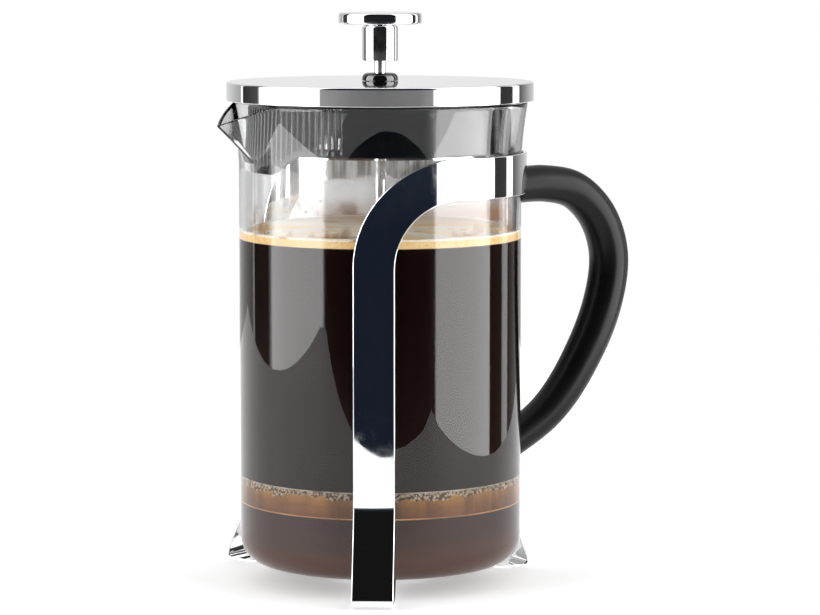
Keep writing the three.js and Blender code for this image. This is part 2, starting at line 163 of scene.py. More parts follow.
def rounded(corners, closed=False, steps=5):
    """An outline from (radius, height, rounding) corners, each rounded corner a short curve."""
    outline = []
    count = len(corners)
    for k, (x, y, rounding) in enumerate(corners):
        inner = closed or 0 < k < count - 1
        if not rounding or not inner:
            outline.append((x, y))
            continue
        here = Vector((x, y))
        before = Vector(corners[k - 1][:2]) - here
        after = Vector(corners[(k + 1) % count][:2]) - here
        reach = rounding / math.tan(before.angle(after) / 2)
        start = here + before.normalized() * reach
        end = here + after.normalized() * reach
        outline.append(tuple(start + before.normalized() * EDGE_SUPPORT))
        for i in range(steps + 1):
            s = i / steps
            spot = start * (1 - s) ** 2 + here * 2 * s * (1 - s) + end * s * s
            outline.append((spot.x, spot.y))
        outline.append(tuple(end + after.normalized() * EDGE_SUPPORT))
    return outline


def arc(cx, cy, radius, start, stop, steps):
    spread = [math.radians(start + (stop - start) * i / steps) for i in range(steps + 1)]
    return [(cx + radius * math.cos(a), cy + radius * math.sin(a)) for a in spread]


def lofted(rings, capped=True):
    """A skin through rings of points, closed by a flat face at each end."""
    n = len(rings[0])
    points = [p for ring in rings for p in ring]
    faces = []
    for k in range(len(rings) - 1):
        for i in range(n):
            a = k * n + i
            b = k * n + (i + 1) % n
            faces.append((a, b, b + n, a + n))
    if capped:
        faces.append(tuple(reversed(range(n))))
        faces.append(tuple(range((len(rings) - 1) * n, len(rings) * n)))
    return points, faces


def merged(*shapes):
    """Several shapes as one."""
    points, faces = [], []
    for more_points, more_faces in shapes:
        start = len(points)
        points += more_points
        faces += [tuple(start + i for i in face) for face in more_faces]
    return points, faces


def reshaped(shape, change):
    """The shape with each point moved by change(x, y, z, degrees from the spout)."""
    points, faces = shape
    moved = [change(x, y, z, abs(math.degrees(math.atan2(y, -x)))) for x, y, z in points]
    return moved, faces


def cut(piece, cutter_shape):
    """Cuts a closed shape out of a piece for good."""
    points, faces = cutter_shape
    mesh = bpy.data.meshes.new("cutter")
    mesh.from_pydata([to_frame(p) for p in points], [], faces)
    cutter = bpy.data.objects.new("cutter", mesh)
    bpy.context.scene.collection.objects.link(cutter)
    modifier = piece.modifiers.new("cut", "BOOLEAN")
    modifier.object = cutter
    modifier.solver = "EXACT"
    evaluated = piece.evaluated_get(bpy.context.evaluated_depsgraph_get())
    result = bpy.data.meshes.new_from_object(evaluated)
    piece.modifiers.clear()
    piece.data = result
    bpy.data.objects.remove(cutter)


def smooth_step(value, low, high):
    s = min(1, max(0, (value - low) / (high - low)))
    return s * s * (3 - 2 * s)


# ---- shader helpers ----
def add_node(tree, kind, inputs=None, **settings):
    """A shader node with its settings, and its inputs given as values or as sockets to link."""
    made = tree.nodes.new(kind)
    for name, value in settings.items():
        setattr(made, name, value)
    for key, value in (inputs or {}).items():
        if isinstance(value, bpy.types.NodeSocket):
            tree.links.new(value, made.inputs[key])
        else:
            made.inputs[key].default_value = value
    return made


def calc(tree, operation, a, b=0.0):
    return add_node(tree, "ShaderNodeMath", {0: a, 1: b}, operation=operation).outputs[0]


def remap(tree, value, low, high, to_low=0.0, to_high=1.0, kind="SMOOTHSTEP"):
    inputs = {"Value": value, "From Min": low, "From Max": high, "To Min": to_low, "To Max": to_high}
    return add_node(tree, "ShaderNodeMapRange", inputs, interpolation_type=kind).outputs[0]


def ramp(tree, value, stops, kind="LINEAR"):
    """A colour ramp from (place, colour or grey) stops."""
    made = add_node(tree, "ShaderNodeValToRGB", {"Fac": value})
    band = made.color_ramp
    band.interpolation = kind
    while len(band.elements) < len(stops):
        band.elements.new(1)
    for element, (place, colour) in zip(band.elements, stops):
        element.position = place
    for element, (place, colour) in zip(band.elements, stops):
        element.color = (*colour, 1) if isinstance(colour, tuple) else (colour, colour, colour, 1)
    return made.outputs["Color"]


def blend_colour(tree, factor, first, second):
    made = add_node(tree, "ShaderNodeMix", data_type="RGBA")
    for key, value in ((0, factor), (6, first), (7, second)):
        if isinstance(value, bpy.types.NodeSocket):
            tree.links.new(value, made.inputs[key])
        else:
            made.inputs[key].default_value = (*value, 1) if isinstance(value, tuple) else value
    return made.outputs[2]


def object_place(tree, stretch=(1, 1, 1)):
    place = add_node(tree, "ShaderNodeTexCoord").outputs["Object"]
    return add_node(tree, "ShaderNodeMapping", {"Vector": place, "Scale": stretch}).outputs[0]


def object_height(tree):
    """Height above the floor, in millimetres."""
    place = add_node(tree, "ShaderNodeTexCoord").outputs["Object"]
    height = add_node(tree, "ShaderNodeSeparateXYZ", {0: place}).outputs[2]
    return calc(tree, "MULTIPLY", height, 1 / MM)


def noise(tree, scale, detail=3.0, stretch=(1, 1, 1), rough=0.5):
    inputs = {"Vector": object_place(tree, stretch), "Scale": scale, "Detail": detail, "Roughness": rough}
    return add_node(tree, "ShaderNodeTexNoise", inputs).outputs["Fac"]


def cells(tree, scale, feature="F1", stretch=(1, 1, 1)):
    inputs = {"Vector": object_place(tree, stretch), "Scale": scale}
    return add_node(tree, "ShaderNodeTexVoronoi", inputs, feature=feature).outputs["Distance"]


def bump(tree, height, strength, depth_mm):
    inputs = {"Height": height, "Strength": strength, "Distance": depth_mm * MM}
    return add_node(tree, "ShaderNodeBump", inputs).outputs["Normal"]


def new_material(name, **constants):
    """A material with one Principled shader; constants are set on its own sockets."""
    material = bpy.data.materials.new(name)
    material.use_nodes = True
    tree = material.node_tree
    shader = tree.nodes["Principled BSDF"]
    for key, value in constants.items():
        shader.inputs[key.replace("_", " ")].default_value = value
    return material, tree, shader


def feed(tree, shader, **sockets):
    for key, socket in sockets.items():
        tree.links.new(socket, shader.inputs[key.replace("_", " ")])


def in_front(azimuth):
    """Level direction from the axis towards whoever looks from this azimuth, in degrees."""
    turn = math.radians(azimuth)
    return math.sin(turn), -math.cos(turn), 0


def to_the_right(azimuth):
    turn = math.radians(azimuth)
    return math.cos(turn), math.sin(turn), 0


def reach_along(tree, place, direction):
    inputs = {0: place, 1: direction}
    return add_node(tree, "ShaderNodeVectorMath", inputs, operation="DOT_PRODUCT").outputs["Value"]


# ---- materials ----
def polished_steel(name="polished_steel", tone=0.9, rough=0.03):
    """Mirror finish with a faint polishing haze."""
    material, tree, shader = new_material(name, Metallic=1.0)
    haze = noise(tree, 60, 4)
    colour = ramp(tree, haze, [(0.3, (tone - 0.05, tone - 0.045, tone - 0.03)), (0.7, (tone, tone, tone))])
    roughness = remap(tree, noise(tree, 240, 4), 0.3, 0.7, rough * 0.6, rough * 1.6)
    waves = noise(tree, 22, 1)
    feed(tree, shader, Base_Color=colour, Roughness=roughness, Normal=bump(tree, waves, 0.01, 0.6))
    return material


def satin_steel(name="satin_steel", tone=0.72, rough=0.22):
    """Plain bright sheet with drawn streaks."""
    material, tree, shader = new_material(name, Metallic=1.0)
    streaks = noise(tree, 500, 4, stretch=(1, 0.05, 1))
    colour = ramp(tree, streaks, [(0.3, (tone - 0.12,) * 3), (0.7, (tone, tone, tone + 0.01))])
    roughness = remap(tree, streaks, 0.3, 0.7, rough * 0.7, rough * 1.5)
    feed(tree, shader, Base_Color=colour, Roughness=roughness, Normal=bump(tree, streaks, 0.05, 0.1))
    return material


def woven_steel():
    """Fine woven wire cloth."""
    material, tree, shader = new_material("woven_steel", Metallic=1.0)
    warp = add_node(tree, "ShaderNodeTexWave", {"Vector": object_place(tree), "Scale": 420.0},
                    bands_direction="X").outputs["Fac"]
    weft = add_node(tree, "ShaderNodeTexWave", {"Vector": object_place(tree), "Scale": 420.0},
                    bands_direction="Y").outputs["Fac"]
    weave = calc(tree, "MULTIPLY", warp, weft)
    colour = ramp(tree, weave, [(0.05, (0.05, 0.045, 0.04)), (0.5, (0.6, 0.6, 0.6))])
    roughness = remap(tree, noise(tree, 300), 0.3, 0.7, 0.25, 0.45)
    feed(tree, shader, Base_Color=colour, Roughness=roughness, Normal=bump(tree, weave, 0.6, 0.2))
    return material


def clear_glass():
    """Thin clear glass: a trace of unevenness from drawing, and a very light film."""
    material, tree, shader = new_material("clear_glass", Transmission_Weight=1.0, IOR=1.47)
    smears = noise(tree, 35, 4, stretch=(1, 1, 0.3))
    colour = ramp(tree, smears, [(0.3, (0.985, 0.99, 0.99)), (0.7, (1.0, 1.0, 1.0))])
    roughness = remap(tree, smears, 0.55, 0.8, 0.0, 0.03)
    waves = noise(tree, 14, 1, stretch=(1, 1, 0.25))
    feed(tree, shader, Base_Color=colour, Roughness=roughness, Normal=bump(tree, waves, 0.03, 0.6))
    return material


def matt_plastic(name, tone, rough, grain, shine):
    """Black moulded plastic with a fine grain."""
    material, tree, shader = new_material(name, Specular_IOR_Level=shine)
    cloud = noise(tree, 45, 4)
    colour = ramp(tree, cloud, [(0.3, (tone * 0.8, tone * 0.8, tone * 0.84)), (0.7, (tone * 1.25,) * 3)])
    fine = noise(tree, 2600, 2)
    roughness = remap(tree, cloud, 0.3, 0.7, rough * 0.88, rough * 1.12)
    feed(tree, shader, Base_Color=colour, Roughness=roughness, Normal=bump(tree, fine, grain, 0.1))
    return material


def coffee_liquid():
    """Brewed coffee: nearly black, a little redder low down where light comes through."""
    material, tree, shader = new_material("coffee", IOR=1.33, Specular_IOR_Level=0.1)
    height = object_height(tree)
    cloud = noise(tree, 40, 4)
    level = calc(tree, "ADD", height, calc(tree, "MULTIPLY", cloud, 30))
    dark = ramp(tree, remap(tree, level, 30, 130), [
        (0, (0.022, 0.009, 0.006)), (1, (0.012, 0.004, 0.0025)),
    ])
    roughness = remap(tree, cloud, 0.3, 0.7, 0.08, 0.16)
    feed(tree, shader, Base_Color=dark, Roughness=roughness)
    return material


def grounds_bed():
    """Wet grounds under the filter: dull brown with a red cast near the bottom."""
    material, tree, shader = new_material("wet_grounds", Specular_IOR_Level=0.15)
    height = object_height(tree)
    cloud = noise(tree, 30, 5, stretch=(1, 1, 5))
    level = calc(tree, "ADD", height, calc(tree, "MULTIPLY", calc(tree, "SUBTRACT", cloud, 0.5), 14))
    colour = ramp(tree, remap(tree, level, 7, 29), [
        (0.0, (0.12, 0.045, 0.02)), (0.25, (0.1, 0.034, 0.018)), (0.6, (0.065, 0.025, 0.015)),
        (1.0, (0.045, 0.018, 0.012)),
    ])
    grit = noise(tree, 700, 3)
    speckled = blend_colour(tree, remap(tree, grit, 0.5, 0.75, 0.0, 0.1), colour, (0.012, 0.006, 0.004))
    roughness = remap(tree, grit, 0.3, 0.7, 0.3, 0.55)
    feed(tree, shader, Base_Color=speckled, Roughness=roughness, Normal=bump(tree, grit, 0.003, 0.1))
    return material


def filter_zone():
    """The filter's edge seen through the brew: golden brown, with froth caught along its top."""
    material, tree, shader = new_material("filter_zone", Specular_IOR_Level=0.15)
    height = object_height(tree)
    streaks = noise(tree, 160, 4, stretch=(1, 1, 0.16))
    golden = ramp(tree, remap(tree, height, GROUNDS_TOP_Z, FROTH_TOP_Z, kind="LINEAR"), [
        (0.0, (0.22, 0.08, 0.025)), (0.45, (0.34, 0.14, 0.04)), (0.8, (0.52, 0.26, 0.07)),
        (1.0, (0.62, 0.38, 0.15)),
    ])
    shaded = blend_colour(tree, remap(tree, streaks, 0.35, 0.65, 0.0, 0.6), golden, (0.07, 0.03, 0.014))
    ragged = calc(tree, "MULTIPLY", noise(tree, 150, 4), 7.0)
    foam_line = calc(tree, "SUBTRACT", height, FROTH_TOP_Z - 6.1)
    foam = remap(tree, calc(tree, "SUBTRACT", foam_line, ragged), 0.0, 0.6)
    bubbles = cells(tree, 900)
    bubble_colour = ramp(tree, bubbles, [
        (0.0, (0.75, 0.62, 0.48)), (0.42, (0.48, 0.34, 0.21)), (0.62, (0.09, 0.05, 0.03)),
    ])
    colour = blend_colour(tree, foam, shaded, bubble_colour)
    roughness = remap(tree, streaks, 0.3, 0.7, 0.25, 0.5)
    feed(tree, shader, Base_Color=colour, Roughness=roughness, Normal=bump(tree, bubbles, 0.3, 0.3))
    return material


def rim_painted_glint():
    """The lower edge of the filter as a painted glint: a thin ring coloured bright orange to stand for the
    edge catching the light.
    """
    material, tree, shader = new_material("filter_rim_painted_glint", Specular_IOR_Level=0.3)
    patches = noise(tree, 45, 3)
    colour = ramp(tree, patches, [(0.35, (0.3, 0.1, 0.03)), (0.65, (0.95, 0.5, 0.2))])
    roughness = remap(tree, patches, 0.3, 0.7, 0.25, 0.4)
    feed(tree, shader, Base_Color=colour, Roughness=roughness)
    return material


def crema_foam():
    """Fine tan foam with pinholes, paler on top than down its side, glowing faintly with painted light that
    stands for light scattered in the foam.
    """
    # The emission strength here and the emission colour fed below make the foam glow: painted light, not a
    # lamp.
    material, tree, shader = new_material("crema", Specular_IOR_Level=0.3, Emission_Strength=0.3)
    islands = noise(tree, 70, 5)
    side = ramp(tree, islands, [
        (0.3, (0.8, 0.5, 0.2)), (0.5, (0.92, 0.65, 0.31)), (0.75, (0.95, 0.75, 0.44)),
    ])
    surface = ramp(tree, islands, [
        (0.34, (0.5, 0.36, 0.2)), (0.43, (0.88, 0.82, 0.7)), (0.7, (0.94, 0.92, 0.87)),
    ])
    top = remap(tree, object_height(tree), CREMA_TOP_Z - 1.0, CREMA_TOP_Z - 0.5)
    colour = blend_colour(tree, top, side, surface)
    pores = cells(tree, 1300)
    pitted = blend_colour(tree, remap(tree, pores, 0.5, 0.85, 0.0, 0.3), colour, (0.45, 0.25, 0.1))
    roughness = remap(tree, islands, 0.3, 0.7, 0.4, 0.65)
    feed(tree, shader, Base_Color=pitted, Emission_Color=pitted, Roughness=roughness,
         Normal=bump(tree, pores, 0.35, 0.25))
    return material


def froth_bubbles():
    """Greyish foam bubbles."""
    material, tree, shader = new_material("froth", Specular_IOR_Level=0.5)
    patches = noise(tree, 260, 4)
    colour = ramp(tree, patches, [
        (0.35, (0.2, 0.13, 0.08)), (0.5, (0.46, 0.37, 0.29)), (0.7, (0.7, 0.62, 0.54)),
    ])
    roughness = remap(tree, patches, 0.3, 0.7, 0.3, 0.5)
    feed(tree, shader, Base_Color=colour, Roughness=roughness)
    return material


def glass_residue():
    """Brown drying marks just over the foam, faint runs and a few specks of coffee, else clear."""
    material, tree, shader = new_material("glass_residue", Specular_IOR_Level=0.2)
    height = object_height(tree)
    runs = noise(tree, 620, 5, stretch=(1, 1, 0.07))
    blots = noise(tree, 90, 5)
    tide = remap(tree, height, CREMA_TOP_Z, CREMA_TOP_Z + 9, 1.0, 0.0)
    near_foam = calc(tree, "MULTIPLY", tide, remap(tree, blots, 0.45, 0.66, 0.0, 0.6))
    high = remap(tree, height, SKIRT_BOTTOM_Z - 20, SKIRT_BOTTOM_Z - 12, 0.0, 1.0)
    streak_foot = calc(tree, "ADD", height, calc(tree, "MULTIPLY", runs, 9))
    fog = remap(tree, streak_foot, SKIRT_BOTTOM_Z - 8, SKIRT_BOTTOM_Z + 2)
    mist = calc(tree, "MULTIPLY", fog, remap(tree, runs, 0.3, 0.7, 0.5, 0.85))
    steam = remap(tree, height, CREMA_TOP_Z + 2, CREMA_TOP_Z + 9, 0.0, 0.38)
    towards_fog = reach_along(tree, object_place(tree), in_front(FOG_AZIMUTH))
    fogged = remap(tree, towards_fog, FOG_CLEAR, FOG_FULL)
    mist = calc(tree, "MULTIPLY", fogged, calc(tree, "MAXIMUM", mist, steam))
    specks = remap(tree, cells(tree, 150), 0.06, 0.09, 0.75, 0.0)
    sparse = calc(tree, "MULTIPLY", specks, remap(tree, noise(tree, 28, 2), 0.56, 0.6, 0.0, 1.0))
    cover = calc(tree, "MAXIMUM", calc(tree, "MAXIMUM", near_foam, mist), sparse)
    damp = ramp(tree, runs, [
        (0.35, (0.5, 0.46, 0.42)), (0.5, (0.74, 0.72, 0.69)), (0.7, (0.88, 0.87, 0.86)),
    ])
    damp = blend_colour(tree, fog, (0.92, 0.91, 0.9), damp)
    colour = blend_colour(tree, high, (0.42, 0.22, 0.1), damp)
    roughness = remap(tree, blots, 0.3, 0.7, 0.3, 0.6)
    feed(tree, shader, Base_Color=colour, Roughness=roughness, Alpha=cover)
    return material


def pale_floor():
    """Plain white table top."""
    material, tree, shader = new_material("pale_floor", Specular_IOR_Level=0.1, Emission_Strength=0.45)
    cloud = noise(tree, 6, 3)
    colour = ramp(tree, cloud, [(0.3, (0.8, 0.8, 0.8)), (0.7, (0.83, 0.83, 0.83))])
    roughness = remap(tree, cloud, 0.3, 0.7, 0.5, 0.6)
    feed(tree, shader, Base_Color=colour, Emission_Color=colour, Roughness=roughness)
    return material


STEEL = polished_steel()
SHEET = satin_steel()
WIRE = satin_steel("wire_steel", 0.66, 0.18)
HANDLE_BLACK = matt_plastic("handle_black", 0.0045, 0.31, 0.06, 0.22)
GLOSS_BLACK = matt_plastic("gloss_black", 0.006, 0.13, 0.02, 0.4)
BUSHING_BLACK = matt_plastic("bushing_black", 0.006, 0.07, 0.02, 1.0)
# Mid grey on the black insert's ribs: painted highlights standing for light caught on the ribs between the
# slots.
RIB_PAINTED_HIGHLIGHT_GREY = matt_plastic("rib_plastic_painted_highlight", 0.11, 0.3, 0.02, 0.5)


# ---- camera, light and floor ----
def add_camera():
    data = bpy.data.cameras.new("camera")
    data.lens = CAMERA_LENS
    camera = bpy.data.objects.new("camera", data)
    bpy.context.scene.collection.objects.link(camera)
    turn = math.radians(CAMERA_AZIMUTH)
    back = Vector((math.sin(turn), -math.cos(turn), 0))
    camera.location = to_frame(back * CAMERA_DISTANCE + Vector((0, 0, CAMERA_HEIGHT)))
    heading = Matrix.Rotation(-math.radians(CAMERA_YAW), 3, "Z") @ -back
    pitch = math.radians(CAMERA_PITCH)
    aim = heading * math.cos(pitch) - Vector((0, 0, math.sin(pitch)))
    camera.rotation_euler = aim.to_track_quat("-Z", "Y").to_euler()
    bpy.context.scene.camera = camera


# Brightness of the studio round the object at the horizon, by degrees to the right of the camera:
# a tall soft box on each side, dark flags beyond them, and a pale backdrop behind the object.
STUDIO = [
    (-180, 0.84), (-150, 0.66), (-128, 0.4), (-126, 1.6), (-124.5, 1.6), (-124, 0.03), (-103, 0.08),
    (-99, 3.2), (-47, 3.2), (-45.5, 0.34), (-20, 0.22), (0, 0.18), (30, 0.22), (40, 0.32),
    (41.5, 3.2), (100, 3.2), (101, 0.035), (117, 0.05), (118.5, 2.2), (126, 2.2), (128, 0.1),
    (150, 0.5), (180, 0.84),
]
STUDIO_PEAK = 3.2
LAMP_GLARE = 0.7  # share by which a mirrored lamp is brighter than its light on matt surfaces
CEILING_ON_MATT = (0.4, 0.4, 0.4)
CEILING_IN_MIRRORS = (0.26, 0.26, 0.265)


def studio_light():
    world = bpy.data.worlds.new("studio")
    bpy.context.scene.world = world
    world.use_nodes = True
    tree = world.node_tree
    tree.nodes.clear()
    place = add_node(tree, "ShaderNodeTexCoord").outputs["Generated"]
    ahead = reach_along(tree, place, in_front(CAMERA_AZIMUTH))
    right = reach_along(tree, place, to_the_right(CAMERA_AZIMUTH))
    bearing = calc(tree, "ARCTAN2", right, ahead)
    share = calc(tree, "ADD", calc(tree, "DIVIDE", bearing, 2 * math.pi), 0.5)
    lamps = ramp(tree, share, [(0.5 + angle / 360, light / STUDIO_PEAK) for angle, light in STUDIO])
    height = reach_along(tree, place, (0, 0, 1))
    # In front only a narrow band just under the horizon is lit: below it the room is dark blue, and
    # above it slate grey going over to black.
    front = ramp(tree, remap(tree, height, -0.1, 0.3, kind="LINEAR"), [
        (0.04, (0.003, 0.0042, 0.0075)), (0.12, (0.006, 0.008, 0.012)), (0.165, (0.003, 0.0027, 0.0025)),
        (0.26, (0.008, 0.0105, 0.0135)), (0.4, (0.004, 0.005, 0.006)), (0.6, (0.0025, 0.0025, 0.0025)),
    ])
    lit_from = remap(tree, height, -0.062, -0.052)
    lit_to = remap(tree, height, -0.041, -0.033, 1.0, 0.0)
    unlit = calc(tree, "SUBTRACT", 1.0, calc(tree, "MULTIPLY", lit_from, lit_to))
    facing = remap(tree, calc(tree, "ABSOLUTE", bearing), 0.77, 0.82, 1.0, 0.0)
    ring = blend_colour(tree, calc(tree, "MULTIPLY", facing, unlit), lamps, front)
    overhead = remap(tree, height, 0.86, 0.93)
    ceiling = remap(tree, height, 0.55, 0.8)
    hidden = calc(tree, "MULTIPLY", facing, calc(tree, "SUBTRACT", 1.0, overhead))
    ceiling = calc(tree, "MULTIPLY", ceiling, calc(tree, "SUBTRACT", 1.0, hidden))
    path = add_node(tree, "ShaderNodeLightPath").outputs
    glare = calc(tree, "MULTIPLY", path["Is Glossy Ray"], remap(tree, lamps, 0.8, 1.0, 0.0, LAMP_GLARE))
    strength = calc(tree, "MULTIPLY", STUDIO_PEAK, calc(tree, "ADD", 1.0, glare))
    above = blend_colour(tree, path["Is Glossy Ray"], CEILING_ON_MATT, CEILING_IN_MIRRORS)
    ring = blend_colour(tree, ceiling, ring, above)
    light = add_node(tree, "ShaderNodeBackground", {"Color": ring, "Strength": strength}).outputs[0]
    plain = add_node(tree, "ShaderNodeBackground", {"Color": (1, 1, 1, 1), "Strength": 1.0}).outputs[0]
    both = add_node(tree, "ShaderNodeMixShader", {0: path["Is Camera Ray"], 1: light, 2: plain}).outputs[0]
    add_node(tree, "ShaderNodeOutputWorld", {"Surface": both})


# Corners of the table top, in mm (to the right, to the front) of the axis as the camera sees it.
FLOOR_CORNERS = [
    (-670, 600), (-600, 640), (-330, 500), (-150, 425), (0, 392), (120, 384), (240, 390), (344, 412),
    (344, -700), (-670, -700),
]


def add_floor():
    """A pale table top. Its front edge is what the glass and the front leg mirror low down."""
    right = Vector(to_the_right(CAMERA_AZIMUTH))
    front = Vector(in_front(CAMERA_AZIMUTH))
    corners = [to_frame(right * x + front * y) for x, y in FLOOR_CORNERS]
    mesh = bpy.data.meshes.new("floor")
    mesh.from_pydata(corners, [], [range(len(corners))])
    mesh.materials.append(pale_floor())
    floor = bpy.data.objects.new("floor", mesh)
    bpy.context.scene.collection.objects.link(floor)


# ---- beaker and what is in it ----
def glass_radius(z):
    share = max(0, (z - FLARE_START_Z) / (BEAKER_RIM_Z - FLARE_START_Z))
    return BEAKER_R + (BEAKER_RIM_R - BEAKER_R) * share ** 1.8


def with_spout(x, y, z, away):
    rise = min(1, (z - SPOUT_START_Z) / (BEAKER_RIM_Z - SPOUT_START_Z))
    half_angle = SPOUT_KEEL_ANGLE + (SPOUT_HALF_ANGLE - SPOUT_KEEL_ANGLE) * rise
    if rise <= 0 or away >= half_angle:
        return x, y, z
    lip = rise * (1 - away / half_angle) ** 1.4
    radius = math.hypot(x, y)
    scale = (radius + (SPOUT_REACH - BEAKER_RIM_R) * lip) / radius
    return x * scale, y * scale, z - SPOUT_DROP * lip


def glass_wall(z):
    share = max(0, (z - FLARE_START_Z) / (BEAKER_RIM_Z - FLARE_START_Z))
    return BEAKER_WALL + (BEAKER_RIM_WALL - BEAKER_WALL) * share


def beaker():
    half = BEAKER_RIM_WALL / 2
    corner_r = BEAKER_R - BEAKER_CORNER_R
    corner_z = BEAKER_BOTTOM_Z + BEAKER_CORNER_R
    rim_z = BEAKER_RIM_Z - half
    levels = [60, 100] + [FLARE_START_Z + (rim_z - FLARE_START_Z) * i / 24 for i in range(25)]
    dome = [(r, PUSH_UP * (1 - smooth_step(r, 8, corner_r))) for r in (0.0, 8, 15, 22, 29)]
    outline = [(r, BEAKER_BOTTOM_Z + up) for r, up in dome]
    outline += arc(corner_r, corner_z, BEAKER_CORNER_R, -90, 0, 16)
    outline += [(glass_radius(z), z) for z in levels]
    outline += arc(glass_radius(rim_z) - half, rim_z, half, 0, 180, 10)[1:-1]
    outline += [(glass_radius(z) - glass_wall(z), z) for z in reversed(levels)]
    outline += arc(corner_r, corner_z, BEAKER_CORNER_R - BEAKER_WALL, 0, -90, 14)
    outline += [(r, BEAKER_BOTTOM_Z + BEAKER_WALL + up) for r, up in reversed(dome)]
    shape = reshaped(turned(outline, 240), with_spout)
    make_piece("beaker_glass", shape, clear_glass(), "beaker", ["beaker"], 60)


def contents():
    corner_r = BEAKER_R - BEAKER_CORNER_R
    corner_z = BEAKER_BOTTOM_Z + BEAKER_CORNER_R
    bottom_r = LIQUID_R - corner_r
    floor_z = corner_z - bottom_r
    grounds = [(0.0, floor_z + PUSH_UP), (20, floor_z + PUSH_UP * 0.7)]
    grounds += arc(corner_r, corner_z, bottom_r, -90, 0, 14)
    grounds += [(LIQUID_R, GROUNDS_TOP_Z - 0.3), (0.0, GROUNDS_TOP_Z - 0.3)]
    make_piece("wet_grounds", turned(grounds), grounds_bed(), "beaker")
    # A thin ring at the filter's lower edge, painted bright orange: a painted glint of the edge catching
    # the light.
    line = arc(LIQUID_R - 0.1, GROUNDS_TOP_Z - 0.02, 0.24, 0, 330, 11)
    make_piece("filter_rim_painted_glint_line", turned(line, closed=True), rim_painted_glint(), "beaker")
    zone = [(0.0, GROUNDS_TOP_Z), (LIQUID_R, GROUNDS_TOP_Z)]
    zone += [(LIQUID_R, FROTH_TOP_Z), (0.0, FROTH_TOP_Z)]
    make_piece("filter_zone", turned(zone), filter_zone(), "beaker")
    brew = [(0.0, FROTH_TOP_Z + 0.2), (LIQUID_R, FROTH_TOP_Z + 0.2)]
    brew += [(LIQUID_R, COFFEE_TOP_Z), (0.0, COFFEE_TOP_Z)]
    make_piece("coffee", turned(brew), coffee_liquid(), "beaker")


def crema():
    """A foam disc with a slightly uneven top that climbs the glass at its edge."""
    waves = random.Random(4)
    ripples = [(waves.uniform(3, 9), waves.uniform(0, 6.28), waves.uniform(0.05, 0.16)) for _ in range(9)]
    outline = [(0.0, COFFEE_TOP_Z + 0.2), (LIQUID_R, COFFEE_TOP_Z + 0.2), (LIQUID_R, CREMA_TOP_Z)]
    radii = [LIQUID_R - 0.5, LIQUID_R - 1.2, LIQUID_R - 2.4] + [44 * (1 - i / 12) for i in range(13)]
    outline += [(r, CREMA_TOP_Z - min(0.7, (LIQUID_R - r) * 0.4)) for r in radii]

    def rippled(x, y, z, away):
        if z < COFFEE_TOP_Z + 2:
            return x, y, z
        angle = math.atan2(y, x)
        lift = sum(size * math.sin(count * angle + x / 9 + phase) for count, phase, size in ripples)
        return x, y, z + lift * min(1, (50 - math.hypot(x, y)) / 8)

    shape = reshaped(turned(outline, 180), rippled)
    make_piece("crema", shape, crema_foam(), "beaker", sharp=60)


def froth():
    """Bubbles caught between the filter's edge and the glass."""
    pick = random.Random(11)
    shapes = []
    for _ in range(1100):
        angle = pick.uniform(0, 2 * math.pi)
        size = pick.uniform(0.14, 0.34)
        z = FROTH_TOP_Z + 0.15 - min(3, abs(pick.gauss(0, 0.9)))
        ball, faces = turned(arc(0, 0, size, -90, 90, 4), 6)
        centre = LIQUID_R - 0.35 * size
        offset = (centre * math.cos(angle), centre * math.sin(angle), z)
        shapes.append(([tuple(a + b for a, b in zip(p, offset)) for p in ball], faces))
    lip = arc(LIQUID_R - 0.12, FROTH_TOP_Z + 0.1, 0.26, 0, 330, 11)
    shapes.append(turned(lip, closed=True))
    make_piece("filter_froth", merged(*shapes), froth_bubbles(), "beaker", sharp=80)


def residue():
    radius = BEAKER_R - BEAKER_WALL - 0.12
    sheet = [(radius - 0.04, CREMA_TOP_Z + 0.3), (radius, CREMA_TOP_Z + 0.3)]
    sheet += [(radius, SKIRT_BOTTOM_Z - 0.5), (radius - 0.04, SKIRT_BOTTOM_Z - 0.5)]
    make_piece("glass_residue", turned(sheet, closed=True), glass_residue(), "beaker")


# ---- strap frame ----
def strap_section():
    """(across, out) points round the strap's section, with eased edges."""
    edge = 0.32
    reach = STRAP_W / 2 - edge
    half = STRAP_T / 2
    row = [reach * (i / 4 - 1) for i in range(9)]
    row = [row[0], row[0] + EDGE_SUPPORT] + row[1:-1] + [row[-1] - EDGE_SUPPORT, row[-1]]
    right = arc(reach, 0, 1, -90, 90, 8)[1:-1]
    right = [(reach + (x - reach) * edge, y * half) for x, y in right]
    low = [(u, -half) for u in row]
    return low + right + [(-u, half) for u, _ in low] + [(-u, -v) for u, v in right]


SECTION = strap_section()


def wrapped_ring(s, z, heading):
    ring = []
    for u, v in SECTION:
        angle = (s - u * math.sin(heading)) / STRAP_R
        radius = STRAP_R + v
        ring.append((radius * math.cos(angle), radius * math.sin(angle), z + u * math.cos(heading)))
    return ring


def leg_rings(path, angle, flare_top_z):
    outward = Vector((math.cos(angle), math.sin(angle), 0))
    sideways = Vector((-math.sin(angle), math.cos(angle), 0))
    rings = []
    for i, point in enumerate(path):
        travel = (path[min(i + 1, len(path) - 1)] - path[max(i - 1, 0)]).normalized()
        rolled = min(1, max(0, point.y / flare_top_z))
        ring = []
        for u, v in SECTION:
            sag = rolled * STRAP_R * (1 - math.cos(u / STRAP_R))
            spot = outward * (point.x - travel.y * v - sag) + sideways * u
            ring.append((spot.x, spot.y, point.y + travel.x * v))
        rings.append(ring)
    return rings


def curve_points(*control, steps=14):
    """Points of a Bezier curve through 3 or 4 control points, without its first."""
    found = []
    for i in range(1, steps + 1):
        level = [Vector(p) for p in control]
        while len(level) > 1:
            level = [a.lerp(b, i / steps) for a, b in zip(level, level[1:])]
        found.append(level[0])
    return found


